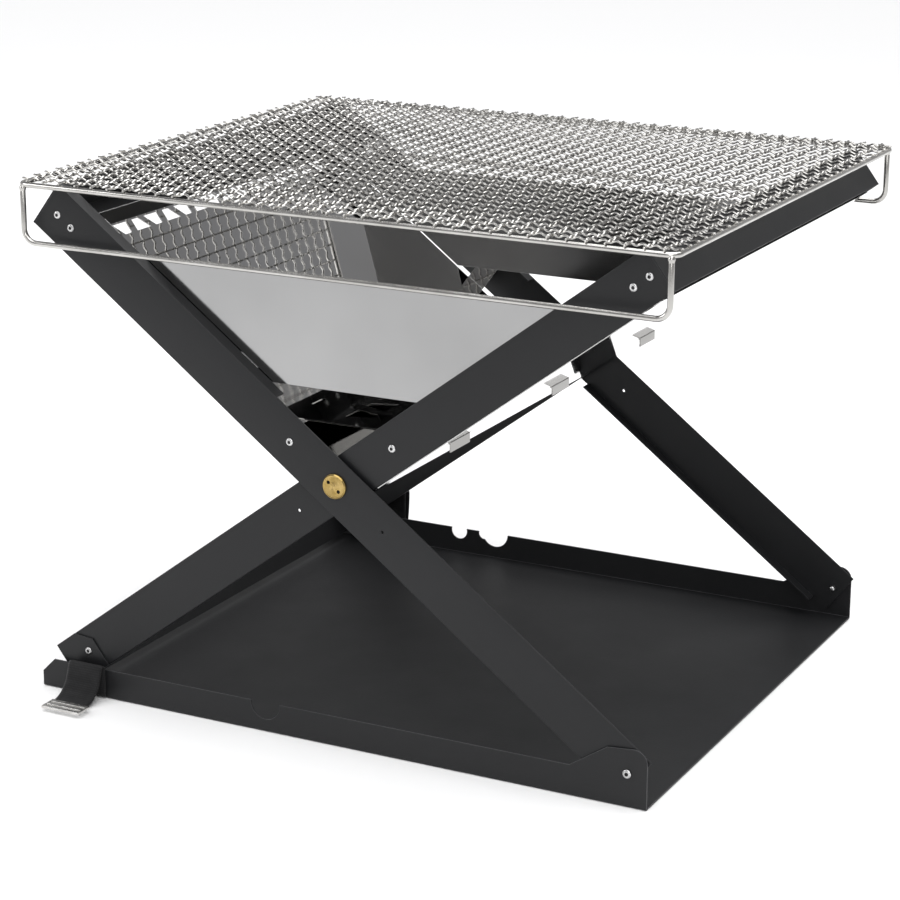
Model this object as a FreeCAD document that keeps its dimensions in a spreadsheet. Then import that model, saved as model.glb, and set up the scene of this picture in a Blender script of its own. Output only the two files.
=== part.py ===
import FreeCAD, Part
import math
import os
import re
import Sketcher

# Folding camp grill: a scissor stand on an ember tray carries a V-shaped fire bowl and a mesh grate.
# Row frame: x = 0 on the scissor pivots, y = 0 half way between front and rear, z = 0 under the tray.
# Front is -Y. The outer frame leans up to the left, the inner frame leans up to the right.
# Each frame's pieces are drawn in its own arm frame: +X along the arm towards the right-hand end,
# +Z across the arm towards its upper edge, origin on the pivot.

DIMENSIONS = {
    "lean_angle": 36.95,            # arms above horizontal, in degrees
    "pivot_to_foot": 343.0,         # scissor pivot to foot hinge
    "foot_hinge_z": 29.6,
    "sheet": 1.5,                   # arms, tray and crossbars
    "tray_left": 308.0,
    "tray_right": 292.0,
    "tray_half_depth": 257.5,
    "tray_lip": 27.4,
    "ear_top": 52.0,
    "ear_length": 36.0,
    "ear_ramp": 34.0,
    "ear_radius": 12.0,
    "lip_chamfer": 13.0,
    "pivot_notch_x": -71.0,
    "pivot_notch_r": 14.5,
    "pivot_notch_z": 25.9,
    "outer_face": 255.5,            # outer arms: outside face from mid-depth
    "outer_up": 357.0,
    "outer_down": 352.0,
    "outer_half": 22.5,
    "outer_fold": 12.0,             # width of the folded edges, inward
    "upper_fold_start": 88.0,
    "lower_fold_start": 24.0,
    "lower_fold_end": 334.0,
    "inner_face": 250.5,            # inner arms: outside face from mid-depth
    "inner_up": 359.5,
    "inner_down": 353.0,
    "inner_half": 20.5,
    "inner_fold": 5.5,
    "outer_tab": 44.0,
    "inner_tab": 45.0,
    "foot_tab": 38.0,
    "tab_half": 18.0,
    "glide_radius": 27.8,
    "rivet_r": 1.6,
    "rivet_head_r": 3.4,
    "rivet_head": 1.2,
    "empty_hole_r": 1.5,
    "drill_in": 240.0,              # holes are cut between these distances from mid-depth
    "drill_out": 262.0,
    "outer_rivet_a": 343.0,
    "outer_rivet_b": 326.0,
    "outer_rivet_low": 54.7,
    "outer_hole": 56.5,
    "inner_rivet_a": 349.5,
    "inner_rivet_b": 332.7,
    "inner_rivet_low": 65.0,
    "inner_hole": 47.7,
    "foot_rivet": 326.0,
    "pivot_r": 4.0,
    "pivot_head_r": 11.0,
    "pivot_head": 2.8,
    "spanner_r": 1.2,
    "spanner_offset": 6.0,
    "nut_r": 8.0,
    "nut_height": 5.0,
    "spacer_r": 9.0,
    "running_gap": 0.05,
    "body_gap": 0.3,
    "hinge_r": 3.0,
    "hinge_head_r": 3.9,
    "panel_sheet": 0.8,
    "left_panel_n": 20.0,           # underside of the left panel, below the arm's centre line
    "left_panel_start": 17.0,
    "left_panel_end": 345.0,
    "left_panel_half": 239.0,
    "lug_width": 20.0,
    "right_panel_n": 21.4,           # just under the inner arms
    "right_panel_start": 16.0,
    "right_panel_end": 347.0,
    "right_panel_half": 250.5,
    "right_ear_height": 26.0,
    "right_ear_start": 54.0,
    "right_ear_length": 250.0,
    "right_lip": 9.0,
    "vent_s": 321.5,
    "vent_pitch": 25.0,
    "vent_length": 13.0,
    "vent_wide": 21.0,
    "vent_narrow": 10.0,
    "end_panel_y": 240.5,
    "end_panel_sheet": 1.2,
    "end_panel_bottom": 314.5,
    "end_panel_top": 410.0,
    "panel_gap": 0.9,
    "ember_tab_width": 36.0,        # the ember plate hooks into the right panel
    "ember_tab_drop": 8.0,
    "ember_tab_x": 90.2,
    "ember_slot_s": 92.5,
    "ember_slot_length": 10.0,
    "ember_z": 278.0,
    "ember_left": 85.4,
    "ember_right": 88.0,
    "ember_half": 215.0,
    "ember_vent_x": -25.0,
    "ember_vent_pitch": 30.0,
    "ember_vent_length": 23.0,
    "ember_vent_wide": 25.0,
    "ember_vent_narrow": 9.0,
    "ember_slot_x": -69.0,
    "ember_slot_y": 161.0,
    "ember_slot_half": 10.0,
    "ember_slot_wide": 4.0,
    "bracket_length": 37.0,
    "bracket_low": 16.2,
    "bracket_high": 2.5,
    "bracket_depth": 7.0,
    "grate_length": 618.8,
    "grate_depth": 534.4,
    "grate_rod_z": 467.7,
    "rod_r": 2.5,
    "rod_bend": 9.0,
    "handle_drop": 51.0,
    "handle_inset": 4.0,
    "handle_bend": 12.0,
    "handle_weld": 1.4,
    "mesh_pitch": 16.5,
    "mesh_wire": 2.0,
    "mesh_bottom": 470.4,
    "mesh_height": 2.4,
    "strap_x": -257.0,
    "strap_width": 36.0,
    "strap_thick": 2.0,
    "rear_strap_x": -224.0,
    "buckle_length": 17.5,
    "buckle_bar": 4.0,
    "buckle_slot": 2.5,
    "buckle_half": 20.0,
    "buckle_shift": 4.0,
    "buckle_reach": 35.5,
}

EMBER_TAB_PLACES = (-202.0, 0.0, 202.0)   # from mid-depth
VENT_COUNT = 16
EMBER_VENT_COUNT = 13
SIDES = {"front": -1, "rear": 1}

doc = FreeCAD.newDocument("folding_camp_grill")
sheet = doc.addObject("Spreadsheet::Sheet", "Dims")
for row, (alias, value) in enumerate(DIMENSIONS.items(), start=1):
    sheet.set(f"A{row}", alias)
    sheet.set(f"B{row}", str(value))
    sheet.setAlias(f"B{row}", alias)
doc.recompute()

dim = dict(DIMENSIONS)
lean = math.radians(dim["lean_angle"])
PIVOT_Z = "(foot_hinge_z + pivot_to_foot * sin(lean_angle))"
sub_parts = []


def cells(text):
    """An expression in which each dimension's name reads its cell."""
    return re.sub(r"[a-z_]+", lambda m: f"Dims.{m[0]}" if m[0] in DIMENSIONS else m[0], str(text))


def bind(thing, **sizes):
    for name, text in sizes.items():
        thing.setExpression(name.replace("__", "."), cells(text))
    return thing


def place(thing, x="0", y="0", z="0"):
    return bind(thing, Placement__Base__x=x, Placement__Base__y=y, Placement__Base__z=z)


def box(x0, x1, y0, y1, z0, z1):
    solid = doc.addObject("Part::Box", "Block")
    bind(solid, Length=f"({x1}) - ({x0})", Width=f"({y1}) - ({y0})", Height=f"({z1}) - ({z0})")
    return place(solid, x0, y0, z0)


def side_box(side, x0, x1, inner, outer, z0, z1):
    """A box between two distances from mid-depth, on the front or the rear side."""
    if side > 0:
        return box(x0, x1, inner, outer, z0, z1)
    return box(x0, x1, f"-({outer})", f"-({inner})", z0, z1)


def pin(side, x, z, radius, inner, outer):
    """A cylinder along Y between two distances from mid-depth."""
    solid = doc.addObject("Part::Cylinder", "Pin")
    bind(solid, Radius=radius, Height=f"({outer}) - ({inner})")
    solid.Placement = FreeCAD.Placement(FreeCAD.Vector(), FreeCAD.Rotation(FreeCAD.Vector(1, 0, 0), -90))
    return place(solid, x, inner if side > 0 else f"-({outer})", z)


def plate(side, corners, inner, outer):
    """A flat plate in an XZ plane, from its outline's corners, between two distances from mid-depth."""
    outline = doc.addObject("Sketcher::SketchObject", "Outline")
    outline.Placement = FreeCAD.Placement(FreeCAD.Vector(), FreeCAD.Rotation(FreeCAD.Vector(1, 0, 0), 90))
    count = len(corners)
    ring = [FreeCAD.Vector(math.cos(-math.tau * i / count), math.sin(-math.tau * i / count)) * 50
            for i in range(count)]
    for i in range(count):
        outline.addGeometry(Part.LineSegment(ring[i], ring[(i + 1) % count]))
    for i in range(count):
        outline.addConstraint(Sketcher.Constraint("Coincident", i, 2, (i + 1) % count, 1))
    for i, (x, z) in enumerate(corners):
        for kind, text in (("DistanceX", x), ("DistanceY", z)):
            spot = outline.addConstraint(Sketcher.Constraint(kind, -1, 1, i, 1, 1.0 + i))
            outline.setExpression(f"Constraints[{spot}]", cells(text))
    place(outline, y=inner if side > 0 else f"-({outer})")
    solid = doc.addObject("Part::Extrusion", "Plate")
    solid.Base = outline
    solid.DirMode = "Custom"
    solid.Dir = FreeCAD.Vector(0, 1, 0)
    solid.Solid = True
    return bind(solid, LengthFwd=f"({outer}) - ({inner})")


def fuse(*solids):
    if len(solids) == 1:
        return solids[0]
    joined = doc.addObject("Part::MultiFuse", "Join")
    joined.Shapes = list(solids)
    return joined


def group(*solids):
    held = doc.addObject("Part::Compound", "Set")
    held.Links = list(solids)
    return held


def cut(base, *tools):
    result = doc.addObject("Part::Cut", "Trim")
    result.Base = base
    result.Tool = fuse(*tools)
    return result


def finish(thing, label, frame=None):
    """Name a sub-part, and turn it from its arm frame into the row frame."""
    thing.Label = label
    if frame:
        turn = 1 if frame == "outer" else -1
        axis = FreeCAD.Vector(0, 1, 0)
        thing.Placement = FreeCAD.Placement(FreeCAD.Vector(), FreeCAD.Rotation(axis, turn * 30))
        bind(thing, Placement__Rotation__Angle=f"{turn} * lean_angle")
        place(thing, z=PIVOT_Z)
    sub_parts.append(thing)
    return thing


def rivet(side, x, inner, outer, z="0"):
    """A blind rivet through a stack of sheets, with its domed head on the outside."""
    shank = pin(side, x, z, "rivet_r", inner, outer)
    head = pin(side, x, z, "rivet_head_r", outer, f"{outer} + rivet_head * 0.6")
    crown = pin(side, x, z, "rivet_head_r * 0.7", f"{outer} + rivet_head * 0.6", f"{outer} + rivet_head")
    return fuse(shank, head, crown)


def holes(side, places, radius, inner, outer):
    return [pin(side, x, "0", radius, inner, outer) for x in places]


# --- ember tray ----------------------------------------------------------------------------------

def base_tray():
    solids = [box("-tray_left", "tray_right", "-tray_half_depth", "tray_half_depth", "0", "sheet")]
    trims = []
    ear = "tray_right - ear_length"
    lip = [("-tray_left", "0"), ("tray_right", "0"), ("tray_right", "ear_top - ear_radius"),
           ("tray_right - ear_radius", "ear_top"), (ear, "ear_top - 2"), (f"{ear} - ear_ramp * 0.6", "tray_lip + 9"),
           (f"{ear} - ear_ramp", "tray_lip"), ("-tray_left + lip_chamfer", "tray_lip"),
           ("-tray_left", "tray_lip - lip_chamfer")]
    inner, outer = "tray_half_depth - sheet", "tray_half_depth"
    for side in SIDES.values():
        solids.append(plate(side, lip, inner, outer))
        solids.append(pin(side, "tray_right - ear_radius", "ear_top - ear_radius", "ear_radius", inner, outer))
        trims.append(pin(side, "pivot_to_foot * cos(lean_angle)", "foot_hinge_z", "hinge_r", "drill_in", "drill_out"))
    trims.append(pin(-1, "pivot_notch_x", "pivot_notch_z", "pivot_notch_r", "drill_in", "drill_out"))
    trims.append(pin(1, "pivot_notch_x - 69", "tray_lip - 2.8", "9", "drill_in", "drill_out"))
    trims.append(pin(1, "pivot_notch_x - 27", "tray_lip", "pivot_notch_r", "drill_in", "drill_out"))
    trims.append(pin(1, "pivot_notch_x - 40", "tray_lip - 2", "6", "drill_in", "drill_out"))
    return finish(cut(fuse(*solids), *trims), "base_tray")


def foot_hinge_rivet(name, side):
    """The hinge rivet passes through the tray's ear and the outer arm's foot."""
    x = "pivot_to_foot * cos(lean_angle)"
    inside = "outer_face - sheet - rivet_head"
    shank = pin(side, x, "foot_hinge_z", "hinge_r - running_gap", inside, "tray_half_depth")
    head = pin(side, x, "foot_hinge_z", "hinge_head_r", "tray_half_depth", "tray_half_depth + rivet_head")
    dome = pin(side, x, "foot_hinge_z", "hinge_head_r * 0.7", "tray_half_depth", "tray_half_depth + rivet_head * 1.5")
    tail = pin(side, x, "foot_hinge_z", "hinge_head_r", inside, "outer_face - sheet - body_gap")
    return finish(fuse(shank, head, dome, tail), f"foot_hinge_rivet_{name}")


# --- outer frame ---------------------------------------------------------------------------------

def outer_arm(name, side):
    web = side_box(side, "-outer_up", "outer_down", "outer_face - sheet", "outer_face", "-outer_half", "outer_half")
    fold_in, fold_out = "outer_face - sheet - outer_fold", "outer_face"
    upper = side_box(side, "-outer_up", "-upper_fold_start", fold_in, fold_out, "outer_half - sheet", "outer_half")
    lower = side_box(side, "lower_fold_start", "lower_fold_end", fold_in, fold_out,
                     "-outer_half", "-outer_half + sheet")
    trims = holes(side, ["0"], "pivot_r", "drill_in", "drill_out")
    trims += holes(side, ["pivot_to_foot"], "hinge_r", "drill_in", "drill_out")
    trims += holes(side, ["-outer_rivet_a", "-outer_rivet_b", "-outer_rivet_low"], "rivet_r", "drill_in", "drill_out")
    trims += holes(side, ["outer_hole"], "empty_hole_r", "drill_in", "drill_out")
    return finish(cut(fuse(web, upper, lower), *trims), f"outer_arm_{name}", "outer")


def outer_crossbar():
    """The plate that closes the outer frame's top end, with a tab inside each arm."""
    solids = [box("-outer_up - sheet", "-outer_up", "-outer_face", "outer_face", "-outer_half", "outer_half")]
    trims = []
    for side in SIDES.values():
        solids.append(side_box(side, "-outer_up", "-outer_up + outer_tab", "outer_face - 2 * sheet",
                               "outer_face - sheet", "-tab_half", "tab_half"))
        trims += holes(side, ["-outer_rivet_a", "-outer_rivet_b"], "rivet_r", "drill_in", "drill_out")
    solids.append(box("-outer_up", "-outer_up + outer_fold", "-left_panel_half", "left_panel_half",
                      "-left_panel_n + panel_sheet", "-left_panel_n + panel_sheet + sheet"))
    return finish(cut(fuse(*solids), *trims), "outer_crossbar", "outer")


def outer_frame_rivets():
    rivets = []
    for side in SIDES.values():
        for x in ("-outer_rivet_a", "-outer_rivet_b"):
            rivets.append(rivet(side, x, "outer_face - 2 * sheet", "outer_face"))
    return finish(group(*rivets), "outer_frame_rivets", "outer")


def guide_rivets():
    """Short rivets that keep the folding arms apart near the pivot."""
    rivets = []
    for side in SIDES.values():
        shank = rivet(side, "-outer_rivet_low", "outer_face - sheet", "outer_face")
        pad = pin(side, "-outer_rivet_low", "0", "rivet_head_r * 1.5", "outer_face - 2 * sheet", "outer_face - sheet")
        rivets.append(fuse(shank, pad))
    return finish(group(*rivets), "guide_rivets", "outer")


def left_bowl_panel():
    """The outer frame's bowl panel: a row of alternating vents near the top, and a lug to each arm."""
    low, high = "-left_panel_n", "-left_panel_n + panel_sheet"
    solids = [box("-left_panel_end", "-left_panel_start", "-left_panel_half", "left_panel_half", low, high)]
    for side in SIDES.values():
        for x in ("120", "290"):
            face = "outer_face - sheet - outer_fold"
            solids.append(side_box(side, f"-{x} - lug_width", f"-{x}", f"{face} - panel_sheet", face, low, "outer_half"))
            solids.append(side_box(side, f"-{x} - lug_width", f"-{x}", "left_panel_half - 1", face, low, high))
    trims = []
    for i in range(VENT_COUNT):
        centre = f"({i} - {(VENT_COUNT - 1) / 2}) * vent_pitch"
        wide = (f"{centre} - vent_wide / 2", f"{centre} + vent_wide / 2")
        narrow = (f"{centre} - vent_narrow / 2", f"{centre} + vent_narrow / 2")
        near, far = (wide, narrow) if i % 2 else (narrow, wide)
        x0, x1 = "-vent_s - vent_length / 2", "-vent_s + vent_length / 2"
        trims.append(vent(x0, x1, near, far, "-left_panel_n - 1", "-left_panel_n + 2"))
    return finish(cut(fuse(*solids), *trims), "left_bowl_panel", "outer")


def pivot_screw(name, side):
    """A brass pivot screw with two spanner holes in its face, tightened from outside."""
    tail = "inner_face - sheet - body_gap - nut_height"
    shank = pin(side, "0", "0", "pivot_r", tail, "outer_face")
    head = pin(side, "0", "0", "pivot_head_r", "outer_face", "outer_face + pivot_head * 0.7")
    face = pin(side, "0", "0", "pivot_head_r - 0.8", "outer_face", "outer_face + pivot_head")
    sockets = [pin(side, f"{way} * spanner_offset", "0", "spanner_r", "outer_face + 1", "outer_face + 5")
               for way in (-1, 1)]
    return finish(cut(fuse(shank, head, face), *sockets), f"pivot_screw_{name}", "outer")


def ring(side, radius, hole, inner, outer):
    return cut(pin(side, "0", "0", radius, inner, outer), pin(side, "0", "0", hole, f"{inner} - 1", f"{outer} + 1"))


def pivot_nut(name, side):
    high = "inner_face - sheet - body_gap"
    return finish(ring(side, "nut_r", "pivot_r", f"{high} - nut_height", high), f"pivot_nut_{name}", "outer")


def pivot_spacer(name, side):
    return finish(ring(side, "spacer_r", "pivot_r", "inner_face + body_gap", "outer_face - sheet"),
                  f"pivot_spacer_{name}", "outer")


# --- inner frame ---------------------------------------------------------------------------------

def inner_arm(name, side):
    web = side_box(side, "-inner_down", "inner_up", "inner_face - sheet", "inner_face", "-inner_half", "inner_half")
    fold_in = "inner_face - sheet - inner_fold"
    folds = []
    for end, low, high in (("inner_up", "inner_half - sheet", "inner_half"),
                           ("pivot_head_r", "-inner_half", "-inner_half + sheet")):
        folds.append(side_box(side, "-inner_down", end, fold_in, "inner_face", low, high))
    trims = holes(side, ["0"], "pivot_r + running_gap", "drill_in", "drill_out")
    trims += holes(side, ["inner_rivet_a", "inner_rivet_b", "inner_rivet_low", "-foot_rivet"], "rivet_r", "drill_in", "drill_out")
    trims += holes(side, ["-inner_hole"], "empty_hole_r", "drill_in", "drill_out")
    return finish(cut(fuse(web, *folds), *trims), f"inner_arm_{name}", "inner")


def inner_crossbar():
    solids = [box("inner_up", "inner_up + sheet", "-inner_face", "inner_face", "-inner_half", "inner_half")]
    trims = []
    for side in SIDES.values():
        solids.append(side_box(side, "inner_up - inner_tab", "inner_up", "inner_face - 2 * sheet",
                               "inner_face - sheet", "-tab_half + 1", "tab_half"))
        trims += holes(side, ["inner_rivet_a", "inner_rivet_b"], "rivet_r", "drill_in", "drill_out")
    return finish(cut(fuse(*solids), *trims), "inner_crossbar", "inner")


def inner_frame_rivets():
    rivets = []
    for side in SIDES.values():
        for x in ("inner_rivet_a", "inner_rivet_b"):
            rivets.append(rivet(side, x, "inner_face - 2 * sheet", "inner_face"))
    return finish(group(*rivets), "inner_frame_rivets", "inner")


def foot_crossbar():
    """The inner frame's lower crossbar. Its tabs lie outside the arms, and round glides slide on the tray."""
    solids = [box("-inner_down - sheet", "-inner_down", "-inner_face - sheet", "inner_face + sheet",
                  "-inner_half", "inner_half")]
    trims = []
    tab = [("-inner_down - sheet", "-inner_half"), ("-inner_down + foot_tab", "-inner_half"),
           ("-inner_down + foot_tab", "inner_half * 0.35"), ("-inner_down + foot_tab * 0.62", "inner_half"),
           ("-inner_down - sheet", "inner_half")]
    for side in SIDES.values():
        solids.append(plate(side, tab, "inner_face", "inner_face + sheet"))
        glide = pin(side, "-pivot_to_foot", "0", "glide_radius", "inner_face", "inner_face + sheet")
        keep = side_box(side, "-pivot_to_foot - 30", "-pivot_to_foot + 30", "inner_face", "inner_face + sheet", "0", "40")
        solids.append(cut(glide, keep))
        trims += holes(side, ["-foot_rivet"], "rivet_r", "drill_in", "drill_out")
    return finish(cut(fuse(*solids), *trims), "foot_crossbar", "inner")


def foot_rivets():
    rivets = [rivet(side, "-foot_rivet", "inner_face - sheet", "inner_face + sheet") for side in SIDES.values()]
    return finish(group(*rivets), "foot_rivets", "inner")


def right_bowl_panel():
    """The inner frame's bowl panel, with a folded ear against each arm and slots for the ember plate's tabs."""
    low, high = "-right_panel_n", "-right_panel_n + panel_sheet"
    solids = [box("right_panel_start", "right_panel_end", "-right_panel_half", "right_panel_half", low, high)]
    solids.append(box("right_panel_end", "right_panel_end + panel_sheet", "-right_panel_half + 4",
                      "right_panel_half - 4", low, f"{high} + right_lip"))
    trims = []
    for side in SIDES.values():
        ear = side_box(side, "right_ear_start", "right_ear_start + right_ear_length",
                       "inner_face - sheet - panel_sheet", "inner_face - sheet", low, f"{low} + right_ear_height")
        link = side_box(side, "right_ear_start", "right_ear_start + right_ear_length", "right_panel_half - 3",
                        "inner_face - sheet", low, high)
        solids += [ear, link]
        trims += holes(side, ["inner_rivet_low"], "rivet_r", "drill_in", "drill_out")
    for place_y in EMBER_TAB_PLACES:
        half = "(ember_tab_width / 2 + 1)"
        trims.append(box("ember_slot_s", "ember_slot_s + ember_slot_length", f"{place_y} - {half}",
                         f"{place_y} + {half}", f"{low} - 1", f"{high} + 1"))
    return finish(cut(fuse(*solids), *trims), "right_bowl_panel", "inner")


def right_panel_rivets():
    rivets = [rivet(side, "inner_rivet_low", "inner_face - sheet - panel_sheet", "inner_face")
              for side in SIDES.values()]
    return finish(group(*rivets), "right_panel_rivets", "inner")


def stop_bracket(name, side):
    """A small folded bracket on the inner arm beside the pivot, with one fixing hole."""
    inner, outer = "inner_face - sheet - bracket_depth", "inner_face - sheet"
    x0, x1 = "pivot_head_r", "pivot_head_r + bracket_length"
    face = side_box(side, x0, x1, inner, f"{inner} + sheet", "-bracket_low", "-bracket_high")
    web = side_box(side, x0, x1, inner, outer, "-bracket_low", "-bracket_low + sheet")
    hole = pin(side, "pivot_head_r + bracket_length * 0.6", "-bracket_low * 0.55", "empty_hole_r", "drill_in", "drill_out")
    return finish(cut(fuse(face, web), hole), f"stop_bracket_{name}", "inner")


# --- loose bowl parts ----------------------------------------------------------------------------

def end_panel(name, side):
    """A trapezoid wall that stands between the bowl panels."""
    inner = "end_panel_y - end_panel_sheet / 2"
    outer = "end_panel_y + end_panel_sheet / 2"
    slope = "tan(lean_angle)"
    left = "(left_panel_n - panel_sheet) / sin(lean_angle)"
    right = "(right_panel_n - panel_sheet) / sin(lean_angle)"
    corners = []
    for z in ("end_panel_bottom", "end_panel_top"):
        rise = f"({z} - {PIVOT_Z}) / {slope}"
        corners.append((f"-({rise} + {left}) + panel_gap", z))
        corners.append((f"{rise} + {right} - panel_gap", z))
    outline = [corners[0], corners[1], corners[3], corners[2]]
    wall = plate(side, outline, inner, outer)
    return finish(wall, f"{name}_end_panel")


def ember_plate():
    """The horizontal plate across the V, with a row of vents, two slots, and three hooked tabs on its right edge."""
    solids = [box("-ember_left", "ember_right", "-ember_half", "ember_half", "ember_z - end_panel_sheet", "ember_z")]
    fold_z = "(ember_z - end_panel_sheet)"
    for place_y in EMBER_TAB_PLACES:
        y0, y1 = f"{place_y} - ember_tab_width / 2", f"{place_y} + ember_tab_width / 2"
        solids.append(box("ember_right - 1", "ember_tab_x", y0, y1, fold_z, "ember_z"))
        solids.append(box("ember_tab_x", "ember_tab_x + end_panel_sheet", y0, y1, f"{fold_z} - ember_tab_drop", fold_z))
        fold = doc.addObject("Part::Cylinder", "Fold")
        bind(fold, Radius="end_panel_sheet", Height="ember_tab_width")
        fold.Placement = FreeCAD.Placement(FreeCAD.Vector(), FreeCAD.Rotation(FreeCAD.Vector(1, 0, 0), -90))
        solids.append(place(fold, "ember_tab_x", y0, fold_z))
    trims = []
    for way in (-1, 1):
        trims.append(box("ember_slot_x - ember_slot_wide / 2", "ember_slot_x + ember_slot_wide / 2",
                         f"{way} * ember_slot_y - ember_slot_half", f"{way} * ember_slot_y + ember_slot_half",
                         "ember_z - 5", "ember_z + 5"))
    for i in range(EMBER_VENT_COUNT):
        centre = f"({i} - {(EMBER_VENT_COUNT - 1) / 2}) * ember_vent_pitch"
        wide = (f"{centre} - ember_vent_wide / 2", f"{centre} + ember_vent_wide / 2")
        narrow = (f"{centre} - ember_vent_narrow / 2", f"{centre} + ember_vent_narrow / 2")
        near, far = (narrow, wide) if i % 2 else (wide, narrow)
        trims.append(vent("ember_vent_x", "ember_vent_x + ember_vent_length", near, far, "ember_z - 5", "ember_z + 5"))
    return finish(cut(fuse(*solids), *trims), "ember_plate")


def vent(x0, x1, near, far, z0, z1):
    """A trapezoid cutter along X, whose Y extent changes from its near end to its far end."""
    cutter = doc.addObject("Part::Wedge", "Vent")
    bind(cutter, Zmin=near[0], Zmax=near[1], Z2min=far[0], Z2max=far[1],
         Ymin=x0, Ymax=x1, Xmin=z0, Xmax=z1, X2min=z0, X2max=z1)
    cutter.Placement = FreeCAD.Placement(FreeCAD.Vector(), FreeCAD.Rotation(FreeCAD.Vector(1, 1, 1), -120))
    return cutter


# --- grate ---------------------------------------------------------------------------------------

def rod(x, y, z, length, axis):
    solid = doc.addObject("Part::Cylinder", "Rod")
    bind(solid, Radius="rod_r", Height=length)
    turn = FreeCAD.Rotation(FreeCAD.Vector(0, 0, 1), FreeCAD.Vector(*axis))
    solid.Placement = FreeCAD.Placement(FreeCAD.Vector(), turn)
    return place(solid, x, y, z)


def bend(x, y, z, radius, normal, start):
    """A quarter turn of rod about an axis."""
    solid = doc.addObject("Part::Torus", "Bend")
    bind(solid, Radius1=radius, Radius2="rod_r")
    solid.Angle3 = 90
    turn = FreeCAD.Rotation(FreeCAD.Vector(0, 0, 1), FreeCAD.Vector(*normal))
    spin = FreeCAD.Rotation(FreeCAD.Vector(*normal), start)
    solid.Placement = FreeCAD.Placement(FreeCAD.Vector(), spin.multiply(turn))
    return place(solid, x, y, z)


def grate_frame():
    x, y = "(grate_length / 2 - rod_r)", "(grate_depth / 2 - rod_r)"
    z, r = "grate_rod_z", "rod_bend"
    solids = []
    for side in SIDES.values():
        solids.append(rod(f"-{x} + {r}", f"{side} * {y}", z, f"2 * {x} - 2 * {r}", (1, 0, 0)))
        solids.append(rod(f"{side} * {x}", f"-{y} + {r}", z, f"2 * {y} - 2 * {r}", (0, 1, 0)))
    for way_x, way_y, start in ((1, 1, 0), (-1, 1, 90), (-1, -1, 180), (1, -1, 270)):
        solids.append(bend(f"{way_x} * ({x} - {r})", f"{way_y} * ({y} - {r})", z, r, (0, 0, 1), start))
    return finish(fuse(*solids), "grate_frame")


def grate_handle(name, side):
    """A rod loop that hangs below the grate's edge as a carrying handle."""
    x = "(grate_length / 2 - rod_r - handle_inset)"
    y = f"{side} * (grate_depth / 2 - rod_r)"
    r, low = "handle_bend", "(grate_rod_z - handle_drop)"
    solids = [rod(f"-{x} + {r}", y, low, f"2 * {x} - 2 * {r}", (1, 0, 0))]
    for way in (-1, 1):
        solids.append(rod(f"{way} * {x}", y, f"{low} + {r}", f"handle_drop - {r} - handle_weld", (0, 0, 1)))
    for way in (-1, 1):
        corner = doc.addObject("Part::Torus", "Bend")
        bind(corner, Radius1=r, Radius2="rod_r")
        corner.Angle3 = 90
        to_xz = FreeCAD.Rotation(FreeCAD.Vector(1, 0, 0), 90)
        spin = FreeCAD.Rotation(FreeCAD.Vector(0, 1, 0), 90 if way > 0 else 180)
        corner.Placement = FreeCAD.Placement(FreeCAD.Vector(), spin.multiply(to_xz))
        solids.append(place(corner, f"{way} * ({x} - {r})", y, f"{low} + {r}"))
    return finish(fuse(*solids), f"grate_handle_{name}")


def grate_mesh():
    """The woven mesh's flat envelope: square openings at twice the wires' pitch."""
    pitch, wire = 2 * dim["mesh_pitch"], dim["mesh_wire"]
    half_x, half_y = dim["grate_length"] / 2 - 1, dim["grate_depth"] / 2 - 1
    opening = (pitch - wire) / 2
    z = dim["mesh_bottom"]

    def square(x, y, a, b):
        points = [FreeCAD.Vector(x + i * a, y + j * b, z) for i, j in ((-1, -1), (1, -1), (1, 1), (-1, 1), (-1, -1))]
        return Part.makePolygon(points)

    columns = int((2 * half_x - wire) // pitch)
    rows = int((2 * half_y - wire) // pitch)
    rim = Part.Face(square(0, 0, half_x, half_y))
    squares = []
    for i in range(columns):
        for j in range(rows):
            squares.append(square((i - (columns - 1) / 2) * pitch, (j - (rows - 1) / 2) * pitch, opening, opening))
    mesh = doc.addObject("Part::Feature", "Mesh")
    rim.cutHoles(squares)
    rim.validate()
    mesh.Shape = rim.extrude(FreeCAD.Vector(0, 0, dim["mesh_height"]))
    return finish(mesh, "grate_mesh")


# --- strap ---------------------------------------------------------------------------------------

def ribbon(route, x, width):
    """A band of webbing along a route of (y, z) points, with rounded folds."""
    thick = dim["strap_thick"]
    solids = []
    for (y0, z0), (y1, z1) in zip(route, route[1:]):
        run = math.hypot(y1 - y0, z1 - z0)
        solid = doc.addObject("Part::Box", "Run")
        bind(solid, Length=width, Height="strap_thick")
        solid.Width = run
        turn = FreeCAD.Rotation(FreeCAD.Vector(1, 0, 0), math.degrees(math.atan2(z1 - z0, y1 - y0)))
        spot = FreeCAD.Vector(0, y0, z0) + turn.multVec(FreeCAD.Vector(0, 0, -thick / 2))
        solid.Placement = FreeCAD.Placement(spot, turn)
        solids.append(bind(solid, Placement__Base__x=f"{x} - {width} / 2"))
    for y, z in route:
        fold = doc.addObject("Part::Cylinder", "Fold")
        bind(fold, Radius="strap_thick / 2", Height=width)
        turn = FreeCAD.Rotation(FreeCAD.Vector(0, 1, 0), 90)
        fold.Placement = FreeCAD.Placement(FreeCAD.Vector(0, y, z), turn)
        solids.append(bind(fold, Placement__Base__x=f"{x} - {width} / 2"))
    return fuse(*solids)


def strap_front():
    """The closing strap's front end: up the tray's lip, doubled over, and down to the ground."""
    face = -dim["tray_half_depth"]
    route = [(face - 1.2, 1.2), (face - 1.2, 29.5), (face - 4.2, 31.0), (face - 7.0, 27.0),
             (face - 12.0, 14.0), (face - 21.0, 5.0), (face - 34.0, 1.4)]
    return finish(ribbon(route, "strap_x", "strap_width"), "strap_front")


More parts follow.
